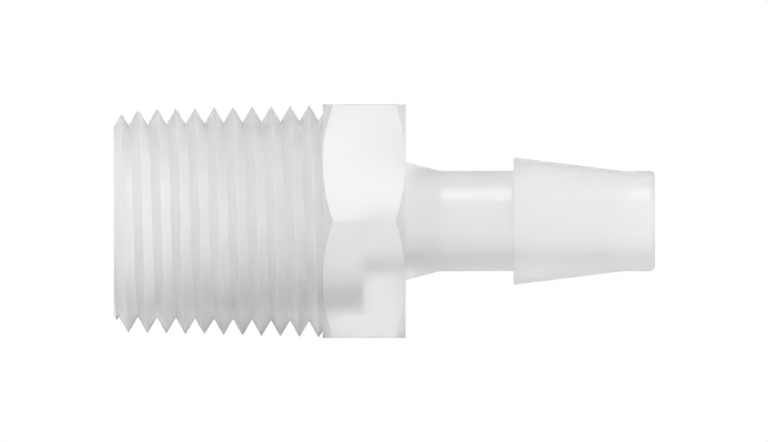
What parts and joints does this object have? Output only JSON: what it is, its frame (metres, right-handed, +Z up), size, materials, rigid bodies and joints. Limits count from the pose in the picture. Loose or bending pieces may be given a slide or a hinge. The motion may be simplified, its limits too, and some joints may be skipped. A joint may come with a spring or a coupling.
{
  "type": "threaded hose nipple",
  "caption": "Moulded hose nipple: a male taper thread, a spanner hexagon and a single barb on one straight axis, with a stepped passage right through.",
  "frame": {"origin": "centre of the threaded end's face, on the axis of the passage", "axes": "+X along the axis towards the barbed tip, +Z up and square to a flat of the hexagon, on which the piece lies"},
  "size_m": [0.0402, 0.02, 0.0174],
  "materials": {
    "natural_polypropylene": "translucent natural white, as moulded, with a soft gloss"
  },
  "bodies": {
    "root": {"hose_nipple": "natural_polypropylene"}
  },
  "joints": []
}
